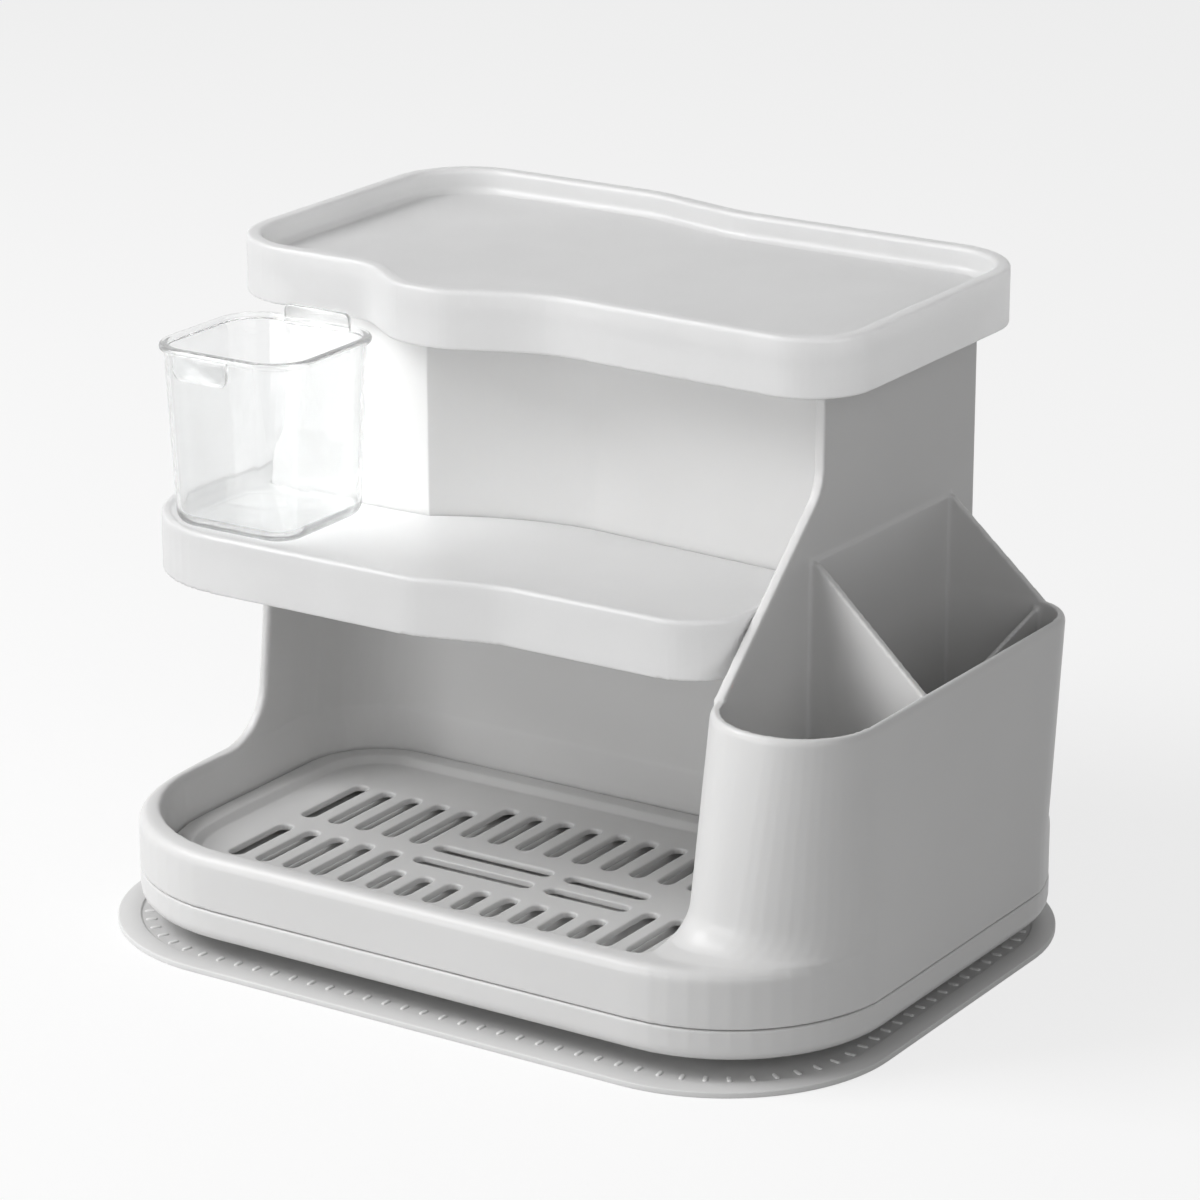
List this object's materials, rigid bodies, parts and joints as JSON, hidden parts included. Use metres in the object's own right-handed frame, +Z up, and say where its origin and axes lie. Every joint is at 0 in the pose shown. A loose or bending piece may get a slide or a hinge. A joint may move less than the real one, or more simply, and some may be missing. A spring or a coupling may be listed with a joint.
{
  "type": "tiered shelf organizer",
  "caption": "Light grey plastic countertop organizer with a slotted drain bay, frosted wavy trays on a column, a divided side box and a clear cup, standing on a thin mat.",
  "frame": {"origin": "centre of the whole footprint, on the ground under the mat", "axes": "X runs along the width to the side box, Y to the back, Z up"},
  "size_m": [0.3196, 0.2682, 0.2337],
  "materials": {
    "body_plastic": "satin light warm grey",
    "grille_plastic": "satin light grey",
    "frosted_plastic": "frosted translucent white",
    "clear_plastic": "clear polished plastic",
    "mat_silicone": "pale grey silicone",
    "foot_rubber": "dark rubber",
    "screw_steel": "plain steel"
  },
  "bodies": {
    "mat": {"anti_slip_mat": "mat_silicone"},
    "organizer": {"body_shell": "body_plastic", "drip_pan": "body_plastic", "foot_front_left": "foot_rubber", "foot_front_right": "foot_rubber", "foot_back_left": "foot_rubber", "foot_back_right": "foot_rubber", "pan_screw_front_left": "screw_steel", "pan_screw_front_right": "screw_steel", "pan_screw_back_left": "screw_steel", "pan_screw_back_right": "screw_steel"},
    "grille": {"drain_grille": "grille_plastic"},
    "middle": {"middle_tray": "frosted_plastic"},
    "top": {"top_tray": "frosted_plastic"},
    "cup": {"clear_cup": "clear_plastic"}
  },
  "joints": [
    {"name": "lift_off_mat", "type": "slide", "parent": "mat", "child": "organizer", "axis": [0, 0, 1], "range_m": [0, 0.06]},
    {"name": "lift_grille", "type": "slide", "parent": "organizer", "child": "grille", "axis": [0, 0, 1], "range_m": [0, 0.045]},
    {"name": "pull_middle_tray", "type": "slide", "parent": "organizer", "child": "middle", "axis": [0, -1, 0], "range_m": [0, 0.15]},
    {"name": "lift_top_tray", "type": "slide", "parent": "organizer", "child": "top", "axis": [0, 0, 1], "range_m": [0, 0.1]},
    {"name": "take_cup", "type": "slide", "parent": "middle", "child": "cup", "axis": [0, -0.8, 0.6], "range_m": [0, 0.12]}
  ]
}
